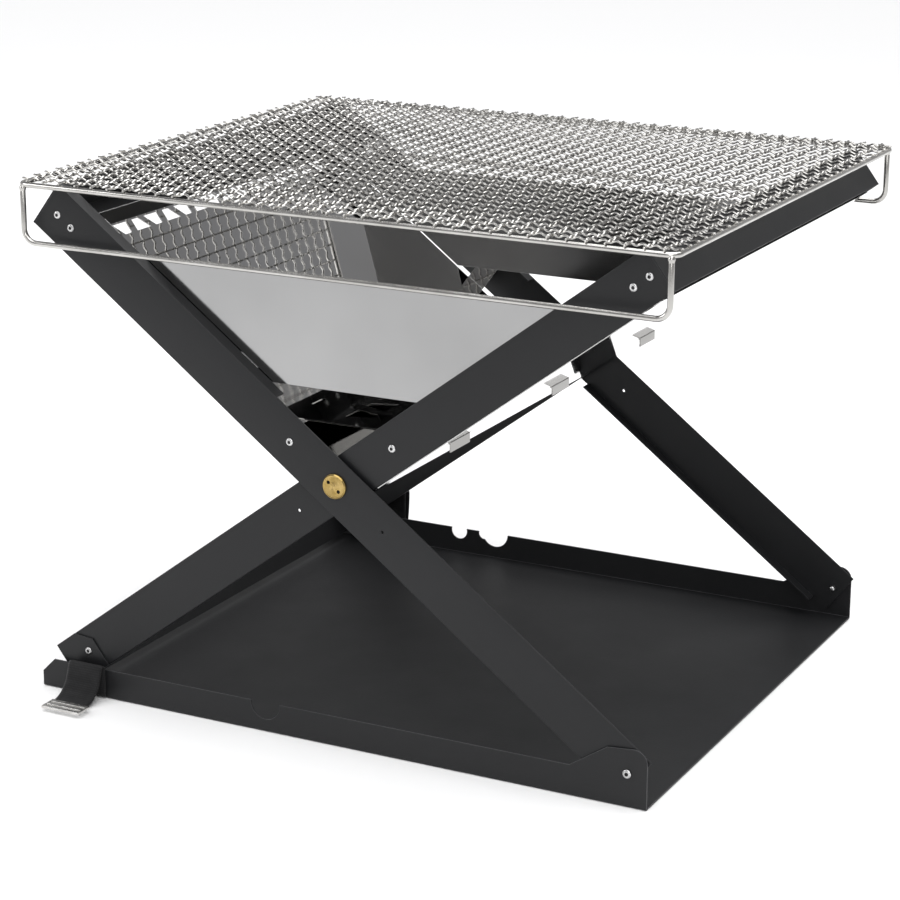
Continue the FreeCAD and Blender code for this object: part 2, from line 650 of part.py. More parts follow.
def strap_rear():
    """The strap's rear end: a standing loop on the tray's rear lip."""
    face = dim["tray_half_depth"]
    route = [(face + 1.2, 1.2), (face + 1.2, 52.0), (face + 4.0, 60.0), (face + 8.5, 60.0),
             (face + 11.0, 52.0), (face + 9.0, 30.0), (face + 5.0, 14.0), (face + 3.4, 4.0)]
    return finish(ribbon(route, "rear_strap_x", "strap_width"), "strap_rear")


def strap_buckle():
    """A flat two-slot buckle lying on the ground at the strap's front end."""
    near = "(-tray_half_depth - buckle_reach)"
    far = f"({near} - buckle_length)"
    middle = "(strap_x + buckle_shift)"
    base = box(f"{middle} - buckle_half", f"{middle} + buckle_half", far, near, "3.0", "5.4")
    slots = []
    for bars in (1, 2):
        low = f"{far} + {bars} * buckle_bar + {bars - 1} * buckle_slot"
        slots.append(box(f"{middle} - buckle_half + 2", f"{middle} + buckle_half - 2", low,
                         f"{low} + buckle_slot", "0", "10"))
    return finish(cut(base, *slots), "strap_buckle")


def strap_rivets():
    rivets = []
    for side, x in ((-1, "strap_x"), (1, "rear_strap_x")):
        for way in (-1, 1):
            spot = f"{x} + {way} * strap_width / 4"
            face = "tray_half_depth + 0.2 + strap_thick"
            rivets.append(pin(side, spot, "15", "rivet_head_r", face, f"{face} + rivet_head"))
    return finish(group(*rivets), "strap_rivets")


def build():
    base_tray()
    strap_front()
    strap_rear()
    strap_buckle()
    strap_rivets()
    outer_crossbar()
    outer_frame_rivets()
    guide_rivets()
    left_bowl_panel()
    inner_crossbar()
    inner_frame_rivets()
    foot_crossbar()
    foot_rivets()
    right_bowl_panel()
    right_panel_rivets()
    ember_plate()
    grate_frame()
    grate_mesh()
    for name, side in SIDES.items():
        for make in (foot_hinge_rivet, outer_arm, pivot_screw, pivot_nut, pivot_spacer, inner_arm, stop_bracket,
                     end_panel, grate_handle):
            make(name, side)


build()
doc.recompute()

for thing in doc.Objects:
    if "Invalid" in thing.State or "Error" in thing.State:
        raise RuntimeError(f"{thing.Name} ({thing.Label}) is {thing.State}")

os.makedirs("parts", exist_ok=True)
for part in sub_parts:
    shape = part.Shape
    if shape.isNull() or not shape.isValid() or not shape.Solids:
        raise RuntimeError(f"{part.Label} has no valid solid")
    shape.exportStep(f"parts/{part.Label}.step")
    b = shape.BoundBox
    print(f"{part.Label:24s} solids {len(shape.Solids)}  volume {shape.Volume / 1000:8.2f} cm3  "
          f"x {b.XMin:.1f} {b.XMax:.1f}  y {b.YMin:.1f} {b.YMax:.1f}  z {b.ZMin:.1f} {b.ZMax:.1f}")
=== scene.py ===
import math

import bmesh
import bpy
from mathutils import Matrix, Vector


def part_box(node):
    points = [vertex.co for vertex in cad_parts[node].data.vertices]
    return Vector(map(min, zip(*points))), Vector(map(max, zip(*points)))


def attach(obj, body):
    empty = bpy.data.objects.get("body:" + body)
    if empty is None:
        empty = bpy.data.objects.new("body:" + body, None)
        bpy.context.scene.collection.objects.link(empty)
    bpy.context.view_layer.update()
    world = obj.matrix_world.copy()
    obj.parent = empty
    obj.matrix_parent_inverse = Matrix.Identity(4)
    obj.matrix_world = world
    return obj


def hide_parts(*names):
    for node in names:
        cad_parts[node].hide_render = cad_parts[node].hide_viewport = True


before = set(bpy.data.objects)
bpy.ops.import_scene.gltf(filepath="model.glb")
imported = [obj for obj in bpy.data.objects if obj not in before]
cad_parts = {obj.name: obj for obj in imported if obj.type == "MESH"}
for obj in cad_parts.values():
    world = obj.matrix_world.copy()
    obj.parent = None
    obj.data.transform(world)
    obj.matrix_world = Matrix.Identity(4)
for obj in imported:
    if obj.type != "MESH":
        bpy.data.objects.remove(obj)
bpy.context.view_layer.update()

MM = 0.001
LEAN = math.radians(36.95)          # the arms above horizontal
FRONT, REAR = -1, 1
SIDES = {"front": FRONT, "rear": REAR}


# --- camera --------------------------------------------------------------------------------------

CAMERA_AT = (1.0409, -2.0881, 0.8967)
CAMERA_AZIMUTH = math.radians(26.96)
CAMERA_ELEVATION = math.radians(16.62)
CAMERA_ROLL = 0.005
CAMERA_LENS = 104.64                # mm, on a 36 mm sensor
SENSOR = 36.0


def make_camera():
    data = bpy.data.cameras.new("camera")
    data.sensor_width = SENSOR
    data.lens = CAMERA_LENS
    data.clip_end = 60
    camera = bpy.data.objects.new("camera", data)
    tilt = Matrix.Rotation(math.pi / 2 - CAMERA_ELEVATION, 4, "X")
    turn = Matrix.Rotation(CAMERA_AZIMUTH, 4, "Z")
    roll = Matrix.Rotation(CAMERA_ROLL, 4, "Z")
    camera.matrix_world = Matrix.Translation(CAMERA_AT) @ turn @ tilt @ roll
    bpy.context.scene.collection.objects.link(camera)
    bpy.context.scene.camera = camera


# --- stage ---------------------------------------------------------------------------------------

FLOOR_HALF = 14.0
FLOOR_DROP = 0.0006                 # keeps the floor just clear of the tray's underside
FLOOR_WHITE = (0.88, 0.88, 0.88, 1)
SOFTBOXES = (                       # name, place, aim, width, height, power
    ("top_light", (0.2, 0.9, 2.3), (0, 0.1, 0.1), 2.4, 1.6, 34),
    ("left_light", (-2.4, -1.6, 1.6), (0, 0, 0.25), 1.4, 1.4, 24),
    ("front_light", (1.6, -3.0, 1.6), (0, 0, 0.2), 1.6, 1.2, 22),
)
SUN_POWER = 2.6
SUN_SPREAD = math.radians(70)
SUN_TURN = (math.radians(14), math.radians(10), 0)
HORIZON = (0.55, 0.55, 0.55, 1)
ZENITH = (0.24, 0.24, 0.25, 1)
ZENITH_FROM = 0.75


def softbox(name, spot, aim, width, height, power):
    data = bpy.data.lights.new(name, "AREA")
    data.shape = "RECTANGLE"
    data.size = width
    data.size_y = height
    data.energy = power
    lamp = bpy.data.objects.new(name, data)
    lamp.location = spot
    lamp.rotation_euler = (Vector(aim) - Vector(spot)).to_track_quat("-Z", "Y").to_euler()
    bpy.context.scene.collection.objects.link(lamp)


def make_floor():
    mesh = bpy.data.meshes.new("floor")
    half = FLOOR_HALF
    corners = [(-half, -half, 0), (half, -half, 0), (half, half, 0), (-half, half, 0)]
    mesh.from_pydata(corners, [], [(0, 1, 2, 3)])
    floor = bpy.data.objects.new("floor", mesh)
    floor.location.z = -FLOOR_DROP
    bpy.context.scene.collection.objects.link(floor)
    paint = bpy.data.materials.new("studio_floor")
    paint.use_nodes = True
    shader = paint.node_tree.nodes["Principled BSDF"]
    shader.inputs["Base Color"].default_value = FLOOR_WHITE
    shader.inputs["Roughness"].default_value = 0.9
    shader.inputs["Specular IOR Level"].default_value = 0.1
    mesh.materials.append(paint)


def make_sun():
    sun = bpy.data.lights.new("even_light", "SUN")
    sun.energy = SUN_POWER
    sun.angle = SUN_SPREAD
    even = bpy.data.objects.new("even_light", sun)
    even.rotation_euler = SUN_TURN
    bpy.context.scene.collection.objects.link(even)


def make_world():
    """A soft grey sky, lighter at the horizon, for the steel to reflect."""
    world = bpy.data.worlds.new("studio")
    world.use_nodes = True
    tree = world.node_tree
    spot = tree.nodes.new("ShaderNodeTexCoord")
    split = tree.nodes.new("ShaderNodeSeparateXYZ")
    ramp = tree.nodes.new("ShaderNodeValToRGB")
    ramp.color_ramp.elements[0].position = 0.0
    ramp.color_ramp.elements[0].color = HORIZON
    ramp.color_ramp.elements[1].position = ZENITH_FROM
    ramp.color_ramp.elements[1].color = ZENITH
    tree.links.new(spot.outputs["Generated"], split.inputs[0])
    tree.links.new(split.outputs["Z"], ramp.inputs[0])
    tree.links.new(ramp.outputs[0], tree.nodes["Background"].inputs["Color"])
    tree.nodes["Background"].inputs["Strength"].default_value = 1.0
    bpy.context.scene.world = world


def make_stage():
    make_floor()
    for name, spot, aim, width, height, power in SOFTBOXES:
        softbox(name, spot, aim, width, height, power)
    make_sun()
    make_world()
    bpy.context.scene.view_settings.view_transform = "Standard"


# --- materials -----------------------------------------------------------------------------------

class Finish:
    """A Principled material whose colour, roughness and bump come from its own nodes."""

    def __init__(self, name, **sockets):
        self.material = bpy.data.materials.new(name)
        self.material.use_nodes = True
        self.tree = self.material.node_tree
        self.shader = self.tree.nodes["Principled BSDF"]
        for socket, value in sockets.items():
            self.shader.inputs[socket.replace("_", " ")].default_value = value
        self.place = self.tree.nodes.new("ShaderNodeTexCoord").outputs["Object"]

    def link(self, source, target):
        self.tree.links.new(source, target)

    def stretched(self, scale):
        """The object's coordinates, scaled apart along each axis."""
        mapping = self.tree.nodes.new("ShaderNodeMapping")
        mapping.inputs["Scale"].default_value = scale
        self.link(self.place, mapping.inputs["Vector"])
        return mapping.outputs[0]

    def noise(self, scale, detail=2.0, where=None):
        made = self.tree.nodes.new("ShaderNodeTexNoise")
        made.inputs["Scale"].default_value = scale
        made.inputs["Detail"].default_value = detail
        self.link(where or self.place, made.inputs["Vector"])
        return made.outputs["Fac"]

    def wave(self, scale, where=None, direction="X", kind="BANDS"):
        made = self.tree.nodes.new("ShaderNodeTexWave")
        made.wave_type = kind
        if kind == "BANDS":
            made.bands_direction = direction
        else:
            made.rings_direction = direction
        made.inputs["Scale"].default_value = scale
        self.link(where or self.place, made.inputs["Vector"])
        return made.outputs["Fac"]

    def between(self, source, low, high, start=0.35, end=0.65):
        """A number from low to high as the source goes from start to end."""
        made = self.tree.nodes.new("ShaderNodeMapRange")
        made.inputs["From Min"].default_value = start
        made.inputs["From Max"].default_value = end
        made.inputs["To Min"].default_value = low
        made.inputs["To Max"].default_value = high
        self.link(source, made.inputs["Value"])
        return made.outputs[0]

    def math(self, operation, a, b):
        made = self.tree.nodes.new("ShaderNodeMath")
        made.operation = operation
        for socket, value in zip(made.inputs, (a, b)):
            if isinstance(value, (int, float)):
                socket.default_value = value
            else:
                self.link(value, socket)
        return made.outputs[0]

    def colours(self, source, first, second, start=0.35, end=0.65):
        """The base colour, from first to second as the source goes from start to end."""
        made = self.tree.nodes.new("ShaderNodeValToRGB")
        made.color_ramp.elements[0].position = start
        made.color_ramp.elements[0].color = (*first, 1)
        made.color_ramp.elements[1].position = end
        made.color_ramp.elements[1].color = (*second, 1)
        self.link(source, made.inputs[0])
        self.link(made.outputs[0], self.shader.inputs["Base Color"])

    def rough(self, source):
        self.link(source, self.shader.inputs["Roughness"])

    def bump(self, source, depth, strength=1.0, under=None):
        """Relief of a real depth in metres, on top of any relief under it."""
        made = self.tree.nodes.new("ShaderNodeBump")
        made.inputs["Distance"].default_value = depth
        made.inputs["Strength"].default_value = strength
        self.link(source, made.inputs["Height"])
        if under is not None:
            self.link(under, made.inputs["Normal"])
        self.link(made.outputs[0], self.shader.inputs["Normal"])
        return made.outputs[0]


def powder_coat(name, dark, light, smooth, rough):
    """Fine-textured black powder coat, a little uneven in tone and gloss."""
    coat = Finish(name, Specular_IOR_Level=0.33)
    coat.colours(coat.noise(5.0, 3.0), dark, light, 0.25, 0.75)
    coat.rough(coat.between(coat.noise(16.0, 4.0), smooth, rough, 0.2, 0.8))
    orange_peel = coat.bump(coat.noise(420.0, 2.0), 0.00012, 0.5)
    coat.bump(coat.noise(2600.0, 1.0), 0.00005, 0.35, under=orange_peel)
    return coat.material


def mirror_steel(name, dark, light):
    """Bright rolled sheet: almost a mirror, with slight waves, wiping marks and faint heat tint."""
    steel = Finish(name, Metallic=1.0)
    steel.colours(steel.noise(4.0, 3.0), dark, light)
    smears = steel.noise(14.0, 6.0, steel.stretched((1, 0.25, 1)))
    grain = steel.noise(900.0, 2.0, steel.stretched((1, 0.02, 1)))
    steel.rough(steel.math("ADD", steel.between(smears, 0.012, 0.045), steel.between(grain, 0.0, 0.012)))
    steel.bump(steel.noise(4.0, 0.0), 0.0008, 0.12)
    return steel.material


def satin_steel():
    """Bright-rolled sheet, slightly hazy, with a fine grain along its length."""
    steel = Finish("satin_stainless", Metallic=1.0)
    steel.colours(steel.noise(6.0, 4.0), (0.31, 0.31, 0.31), (0.36, 0.36, 0.36))
    grain = steel.noise(1100.0, 3.0, steel.stretched((0.02, 0.02, 1)))
    patches = steel.noise(18.0, 5.0)
    steel.rough(steel.math("ADD", steel.between(patches, 0.11, 0.15), steel.between(grain, 0.0, 0.02)))
    steel.bump(grain, 0.000004, 0.3)
    return steel.material


def drawn_wire():
    """Slightly warm electropolished wire with fine drawing marks."""
    wire = Finish("stainless_wire", Metallic=1.0)
    wire.colours(wire.noise(30.0, 2.0), (0.44, 0.43, 0.41), (0.54, 0.53, 0.51))
    wire.rough(wire.between(wire.noise(40.0, 2.0), 0.17, 0.23))
    wire.bump(wire.noise(300.0, 1.0), 0.000005, 0.2)
    return wire.material


def turned_brass():
    """Brass with the rings that a lathe tool leaves."""
    brass = Finish("turned_brass", Metallic=1.0)
    brass.colours(brass.noise(180.0, 3.0), (0.36, 0.25, 0.08), (0.48, 0.35, 0.14))
    rings = brass.wave(300.0, kind="RINGS", direction="Y")
    brass.rough(brass.between(rings, 0.20, 0.34, 0.0, 1.0))
    brass.bump(rings, 0.00006, 0.6)
    return brass.material


def plain_steel(name, dark, light, smooth, rough):
    steel = Finish(name, Metallic=1.0)
    steel.colours(steel.noise(160.0, 3.0), dark, light)
    steel.rough(steel.between(steel.noise(420.0, 3.0), smooth, rough))
    steel.bump(steel.noise(1800.0, 2.0), 0.00004, 0.3)
    return steel.material


def moulded_nylon():
    nylon = Finish("spacer_nylon", Specular_IOR_Level=0.4)
    nylon.colours(nylon.noise(60.0, 3.0), (0.02, 0.02, 0.021), (0.035, 0.035, 0.036))
    nylon.rough(nylon.between(nylon.noise(200.0, 3.0), 0.45, 0.60))
    nylon.bump(nylon.noise(1400.0, 2.0), 0.00005, 0.4)
    return nylon.material


def woven_webbing():
    """Black nylon webbing: ribs across, columns along, in the band's own UV metres."""
    band = Finish("webbing", Specular_IOR_Level=0.25, Sheen_Weight=0.1, Sheen_Roughness=0.45)
    uv = band.tree.nodes.new("ShaderNodeUVMap")
    uv.uv_map = "band"
    along = band.wave(150.0, uv.outputs[0], "Y")
    across = band.wave(210.0, uv.outputs[0], "X")
    weave = band.math("MULTIPLY", along, across)
    band.colours(weave, (0.006, 0.006, 0.0065), (0.016, 0.016, 0.017), 0.1, 0.9)
    band.rough(band.between(band.noise(90.0, 4.0), 0.72, 0.9))
    ribs = band.bump(weave, 0.0002, 0.7)
    band.bump(band.noise(2200.0, 2.0), 0.00008, 0.4, under=ribs)
    return band.material


COAT = powder_coat("black_powder_coat", (0.0068, 0.007, 0.0078), (0.0092, 0.0095, 0.0105), 0.42, 0.49)
# painted highlight: a lighter powder coat for the bevelled edges, standing in for the sheen that light puts
# along folds and edges
COAT_PAINTED_HIGHLIGHT = powder_coat("black_powder_coat_painted_highlight", (0.03, 0.031, 0.033), (0.06, 0.061, 0.064), 0.28, 0.42)
MIRROR = mirror_steel("mirror_stainless", (0.43, 0.426, 0.418), (0.49, 0.49, 0.49))
EMBER = mirror_steel("ember_stainless", (0.26, 0.255, 0.245), (0.32, 0.315, 0.305))
SATIN = satin_steel()
WIRE = drawn_wire()
BRASS = turned_brass()
RIVET = plain_steel("rivet_steel", (0.45, 0.45, 0.45), (0.70, 0.70, 0.70), 0.22, 0.36)
# painted shade: dark steel that lines the rivet hollows and the spanner sockets, standing in for the shade
# inside these holes
SHADE = plain_steel("hollow_painted_shade", (0.03, 0.03, 0.03), (0.08, 0.08, 0.08), 0.5, 0.7)
BUCKLE = plain_steel("buckle_steel", (0.52, 0.51, 0.49), (0.72, 0.71, 0.69), 0.24, 0.40)
NYLON = moulded_nylon()
WEBBING = woven_webbing()


# --- mesh helpers --------------------------------------------------------------------------------

WELD_WITHIN = 0.00002
FLAT_WITHIN = math.radians(0.5)
FOLD_ANGLE = math.radians(40)       # a fold turns by more than this
FOLD_FACE = 3.0 * MM                # and has a wider face than this on each side
FOLD_LENGTH = 60 * MM
EDGE_ANGLE = math.radians(38)
SMOOTH_WITHIN = math.radians(50)


def piece(name, mesh, body, slot, *replaced):
    """A finished piece that rides on its body and stands for the CAD nodes it replaces."""
    thing = bpy.data.objects.new(name, mesh)
    bpy.context.scene.collection.objects.link(thing)
    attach(thing, body)
    if replaced:
        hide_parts(*replaced)
    return thing


def clean_copy(node):
    """A copy of a CAD node's mesh with its flat faces whole again, and the same as a BMesh to work on."""
    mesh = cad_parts[node].data.copy()
    if "custom_normal" in mesh.attributes:
        mesh.attributes.remove(mesh.attributes["custom_normal"])
    work = bmesh.new()
    work.from_mesh(mesh)
    bmesh.ops.remove_doubles(work, verts=work.verts, dist=WELD_WITHIN)
    bmesh.ops.dissolve_limit(work, angle_limit=FLAT_WITHIN, verts=work.verts, edges=work.edges)
    return mesh, work


def evaluated(mesh, name, *settings):
    """The mesh after modifiers, each given as its kind and its values."""
    thing = bpy.data.objects.new(name, mesh)
    bpy.context.scene.collection.objects.link(thing)
    for kind, values in settings:
        modifier = thing.modifiers.new(kind.lower(), kind)
        for key, value in values.items():
            setattr(modifier, key, value)
    graph = bpy.context.evaluated_depsgraph_get()
    made = bpy.data.meshes.new_from_object(thing.evaluated_get(graph))
    made.name = name
    bpy.data.objects.remove(thing)
    return made


def fold_edges(work):
    """Outside edges of the folds: long convex edges between two wide faces."""
    found = []
    for edge in work.edges:
        if len(edge.link_faces) != 2 or not edge.is_convex or edge.calc_length() < FOLD_LENGTH:
            continue
        if edge.calc_face_angle() < FOLD_ANGLE:
            continue
        if min(face.calc_area() for face in edge.link_faces) / edge.calc_length() > FOLD_FACE:
            found.append(edge)
    return found


def soft_edged(node, body, slot, skin, edge=None, width=0.3 * MM, fold=0.0):
    """A copy of a sheet-metal CAD node with rounded folds and eased edges, which replaces it."""
    mesh, work = clean_copy(node)
    if fold:
        bmesh.ops.bevel(work, geom=fold_edges(work), offset=fold, segments=4, profile=0.5, affect="EDGES",
                        clamp_overlap=True)
    for face in work.faces:
        face.smooth = True
    work.to_mesh(mesh)
    work.free()
    mesh.materials.clear()
    mesh.materials.append(skin)
    mesh.materials.append(edge or skin)
    # The bevel's faces take the second material, which for the powder-coated parts is the lighter painted
    # highlight.
    values = {"width": width, "segments": 2, "limit_method": "ANGLE", "angle_limit": EDGE_ANGLE,
              "harden_normals": True, "material": 1, "use_clamp_overlap": True}
    made = evaluated(mesh, node + "_sheet", ("BEVEL", values))
    return piece(node + "_formed", made, body, slot, node)


def islands(node):
    """The lowest and highest corner of each separate solid in a CAD node."""
    mesh, work = clean_copy(node)
    left = set(work.verts)
    found = []
    while left:
        start = left.pop()
        group = [start]
        stack = [start]
        while stack:
            for edge in stack.pop().link_edges:
                for vert in edge.verts:
                    if vert in left:
                        left.remove(vert)
                        group.append(vert)
                        stack.append(vert)
        low = Vector(min(v.co[i] for v in group) for i in range(3))
        high = Vector(max(v.co[i] for v in group) for i in range(3))
        found.append((low, high))
    work.free()
    bpy.data.meshes.remove(mesh)
    return sorted(found, key=lambda pair: tuple(round(c, 4) for c in pair[0]))


def lathe(profile, centre, axis, steps=28, marks=()):
    """Vertices, faces and ink numbers of a profile turned about an axis through centre.

    marks are the profile steps, and the end cap with them, that take the second ink.
    """
    axis = Vector(axis).normalized()
    side = axis.orthogonal().normalized()
    other = axis.cross(side)
    verts = []
    faces = []
    inks = []
    for radius, height in profile:
        for i in range(steps):
            angle = math.tau * i / steps
            spot = side * math.cos(angle) + other * math.sin(angle)
            verts.append(Vector(centre) + spot * radius + axis * height)
    for row in range(len(profile) - 1):
        for i in range(steps):
            a, b = row * steps + i, row * steps + (i + 1) % steps
            faces.append((a, b, b + steps, a + steps))
            inks.append(1 if row in marks else 0)
    faces.append(tuple(reversed(range(steps))))
    inks.append(0)
    last = (len(profile) - 1) * steps
    faces.append(tuple(range(last, last + steps)))
    inks.append(1 if marks else 0)
    return verts, faces, inks


def tube(points, radius, sides, closed=False):
    """Vertices and faces of a round rod along points, with rounded ends unless it is closed."""
    points = [Vector(p) for p in points]
    count = len(points)
    tangents = []
    for i in range(count):
        before = points[i - 1] if (i or closed) else points[i]
        after = points[(i + 1) % count] if (i < count - 1 or closed) else points[i]
        tangents.append((after - before).normalized())
    across = tangents[0].orthogonal().normalized()
    rings = []
    for i, (point, tangent) in enumerate(zip(points, tangents)):
        across = (across - tangent * across.dot(tangent)).normalized()
        rings.append((point, across.copy(), tangent.cross(across)))
    spans = []
    if not closed:
        start, end = rings[0], rings[-1]
        for lift, scale in ((0.5, 0.45), (0.3, 0.85)):
            spans.append((start[0] - tangents[0] * radius * lift, start[1], start[2], scale))
    spans += [(point, u, v, 1.0) for point, u, v in rings]
    if not closed:
        for lift, scale in ((0.3, 0.85), (0.5, 0.45)):
            spans.append((end[0] + tangents[-1] * radius * lift, end[1], end[2], scale))
    verts = []
    for point, u, v, scale in spans:
        for i in range(sides):
            angle = math.tau * i / sides
            verts.append(point + (u * math.cos(angle) + v * math.sin(angle)) * radius * scale)
    faces = []
    loops = len(spans)
    for row in range(loops if closed else loops - 1):
        for i in range(sides):
            a, b = row * sides + i, row * sides + (i + 1) % sides
            c, d = (a + sides) % (loops * sides), (b + sides) % (loops * sides)
            faces.append((a, b, d, c))
    if not closed:
        faces.append(tuple(reversed(range(sides))))
        faces.append(tuple(range((loops - 1) * sides, loops * sides)))
    return verts, faces


def gathered(name, shapes, *skins):
    """One mesh from several lists of vertices and faces, smooth, with a material for each ink number."""
    verts = []
    faces = []
    inks = []
    for shape in shapes:
        start = len(verts)
        verts += shape[0]
        faces += [tuple(start + i for i in face) for face in shape[1]]
        inks += shape[2] if len(shape) > 2 else [0] * len(shape[1])
    mesh = bpy.data.meshes.new(name)
    mesh.from_pydata(verts, [], faces)
    for skin in skins:
        mesh.materials.append(skin)
    mesh.polygons.foreach_set("material_index", inks)
    work = bmesh.new()
    work.from_mesh(mesh)
    bmesh.ops.recalc_face_normals(work, faces=work.faces)
    for face in work.faces:
        face.smooth = True
    work.to_mesh(mesh)
    work.free()
    mesh.set_sharp_from_angle(angle=SMOOTH_WITHIN)
    return mesh


# --- sheet metal ---------------------------------------------------------------------------------

FOLD_ROUND = 1.2 * MM
ARM_FOLD_ROUND = 1.3 * MM
WALL_EDGE = 0.25 * MM
BOWL_EDGE = 0.18 * MM
EMBER_EDGE = 0.2 * MM
FOLDED_SHEETS = {"base_tray": "base", "outer_crossbar": "outer_frame", "inner_crossbar": "inner_frame",
                 "foot_crossbar": "inner_frame"}


def make_sheet_metal():
    for name, body in FOLDED_SHEETS.items():
        # the bevelled edges of the black parts take the lighter painted highlight
        soft_edged(name, body, "black_powder_coat", COAT, COAT_PAINTED_HIGHLIGHT, fold=FOLD_ROUND)
    for side in SIDES:
        for pair in ("outer", "inner"):
            soft_edged(f"{pair}_arm_{side}", f"{pair}_frame", "black_powder_coat", COAT, COAT_PAINTED_HIGHLIGHT,
                       fold=ARM_FOLD_ROUND)
        soft_edged(f"stop_bracket_{side}", "inner_frame", "black_powder_coat", COAT, COAT_PAINTED_HIGHLIGHT)
        soft_edged(f"{side}_end_panel", f"{side}_wall", "satin_stainless", SATIN, width=WALL_EDGE)
    soft_edged("left_bowl_panel", "outer_frame", "mirror_stainless", MIRROR, width=BOWL_EDGE)
    soft_edged("right_bowl_panel", "inner_frame", "mirror_stainless", MIRROR, width=BOWL_EDGE)
    soft_edged("ember_plate", "ember_tray", "mirror_stainless", EMBER, width=EMBER_EDGE)
    for side in SIDES:
        soft_edged(f"pivot_nut_{side}", "outer_frame", "rivet_steel", RIVET)
        soft_edged(f"pivot_spacer_{side}", "outer_frame", "spacer_nylon", NYLON)


# --- rivets and pivots ---------------------------------------------------------------------------

# Profiles are radius and height in millimetres.
RIVET_PROFILE = [(3.4, 0.0), (3.4, 0.35), (3.15, 0.75), (2.6, 1.08), (1.9, 1.2), (1.45, 1.16), (1.25, 1.0),
                 (1.2, 0.45)]
RIVET_HEIGHT = 1.2
RIVET_HOLLOW = (5, 6)               # the profile's steps that line the hollow
TAIL_PROFILE = [(2.3, 0.0), (2.5, 0.5), (2.4, 1.5), (1.6, 2.1)]
HINGE_SWELL = 1.15                  # the foot hinge's rivets are larger
RIVET_BODIES = {"outer_frame_rivets": "outer_frame", "inner_frame_rivets": "inner_frame",
                "foot_rivets": "inner_frame", "right_panel_rivets": "inner_frame",
                "guide_rivets": "outer_frame", "foot_hinge_rivet_front": "base",
                "foot_hinge_rivet_rear": "base"}


def rivet_shapes(node, swell=1.0):
    """A blind rivet's domed head, with its hollow, and its tail, for each solid in the node."""
    shapes = []
    for low, high in islands(node):
        side = REAR if low.y + high.y > 0 else FRONT
        tip = high.y if side > 0 else low.y
        tail = low.y if side > 0 else high.y
        x, z = (low.x + high.x) / 2, (low.z + high.z) / 2
        head = [(r * swell * MM, h * MM) for r, h in RIVET_PROFILE]
        seat = Vector((x, tip - side * RIVET_HEIGHT * MM, z))
        shapes.append(lathe(head, seat, (0, side, 0), marks=RIVET_HOLLOW))
        back = [(r * MM, h * MM) for r, h in TAIL_PROFILE]
        shapes.append(lathe(back, (x, tail, z), (0, -side, 0), steps=16))
    return shapes


def make_rivets():
    for node, body in RIVET_BODIES.items():
        swell = HINGE_SWELL if node.startswith("foot_hinge") else 1.0
        # the hollow's steps and its cap take the dark painted shade
        mesh = gathered(node + "_heads", rivet_shapes(node, swell), RIVET, SHADE)
        piece(node + "_domed", mesh, body, "rivet_steel", node)


HEAD_HEIGHT = 2.8 * MM
HEAD_RIM = 0.62                     # share of the head's height below its chamfer
HEAD_CHAMFER = 0.9 * MM
HEAD_SMOOTH = math.radians(30)
GROOVE_START = 1.6 * MM
GROOVE_END = 1.2 * MM
GROOVE_HALF = 0.25 * MM
GROOVE_WIDTH = 0.5 * MM
GROOVE_DEPTH = 0.14 * MM
GROOVE_PITCH = 1.15 * MM
SOCKET_RADIUS = 1.6 * MM
SOCKET_OFFSET = 6.0 * MM
SOCKET_FLOOR = 1.0 * MM
SOCKET_REACH = 3 * MM
STEM_RADIUS = 4.0 * MM
STEM_PLAIN = 0.5                    # share of the stem without a thread
THREAD_PITCH = 0.8 * MM
THREAD_CREST = 3.9 * MM
THREAD_ROOT = 3.5 * MM


def turned_head(name, radius, side):
    """A chamfered brass head with turned grooves and two spanner holes, its seat at the origin."""
    profile = [(radius, 0.0), (radius, HEAD_HEIGHT * HEAD_RIM), (radius - HEAD_CHAMFER, HEAD_HEIGHT)]
    ring = radius - GROOVE_START
    while ring > GROOVE_END:
        profile += [(ring, HEAD_HEIGHT), (ring - GROOVE_HALF, HEAD_HEIGHT - GROOVE_DEPTH),
                    (ring - GROOVE_WIDTH, HEAD_HEIGHT)]
        ring -= GROOVE_PITCH
    face = gathered(name + "_head", [lathe(profile, (0, 0, 0), (0, side, 0), steps=64)], BRASS)
    sockets = []
    for way in (-1, 1):
        apart = way * SOCKET_OFFSET
        spot = (apart * math.cos(LEAN), side * SOCKET_FLOOR, -apart * math.sin(LEAN))
        bore = [(SOCKET_RADIUS, 0), (SOCKET_RADIUS, SOCKET_REACH)]
        sockets.append(lathe(bore, spot, (0, side, 0), steps=20))
    # the sockets' walls take the cutter's dark painted shade
    cutter = bpy.data.objects.new("spanner_sockets", gathered("spanner_sockets", sockets, SHADE))
    bpy.context.scene.collection.objects.link(cutter)
    values = {"object": cutter, "operation": "DIFFERENCE", "solver": "EXACT", "material_mode": "TRANSFER"}
    drilled = evaluated(face, name + "_drilled", ("BOOLEAN", values))
    bpy.data.objects.remove(cutter)
    drilled.set_sharp_from_angle(angle=HEAD_SMOOTH)
    return drilled


def threaded_stem(name, seat, side, length):
    stem = [(STEM_RADIUS, 0), (STEM_RADIUS, length * STEM_PLAIN)]
    reach = length * STEM_PLAIN
    while reach < length - THREAD_PITCH:
        stem += [(THREAD_CREST, reach + 0.2 * MM), (THREAD_ROOT, reach + 0.5 * MM),
                 (THREAD_CREST, reach + THREAD_PITCH)]
        reach += THREAD_PITCH
    return gathered(name + "_stem", [lathe(stem, seat, (0, -side, 0), steps=24)], BRASS)


def make_pivots():
    for name, side in SIDES.items():
        node = f"pivot_screw_{name}"
        low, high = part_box(node)
        tip = high.y if side > 0 else low.y
        tail = low.y if side > 0 else high.y
        seat = Vector(((low.x + high.x) / 2, tip - side * HEAD_HEIGHT, (low.z + high.z) / 2))
        drilled = turned_head(node, (high.x - low.x) / 2, side)
        head = piece(node + "_turned", drilled, "outer_frame", "brass", node)
        head.location = seat
        stem = threaded_stem(node, seat, side, abs(tail - seat.y))
        piece(node + "_thread", stem, "outer_frame", "brass")


# --- grate ---------------------------------------------------------------------------------------

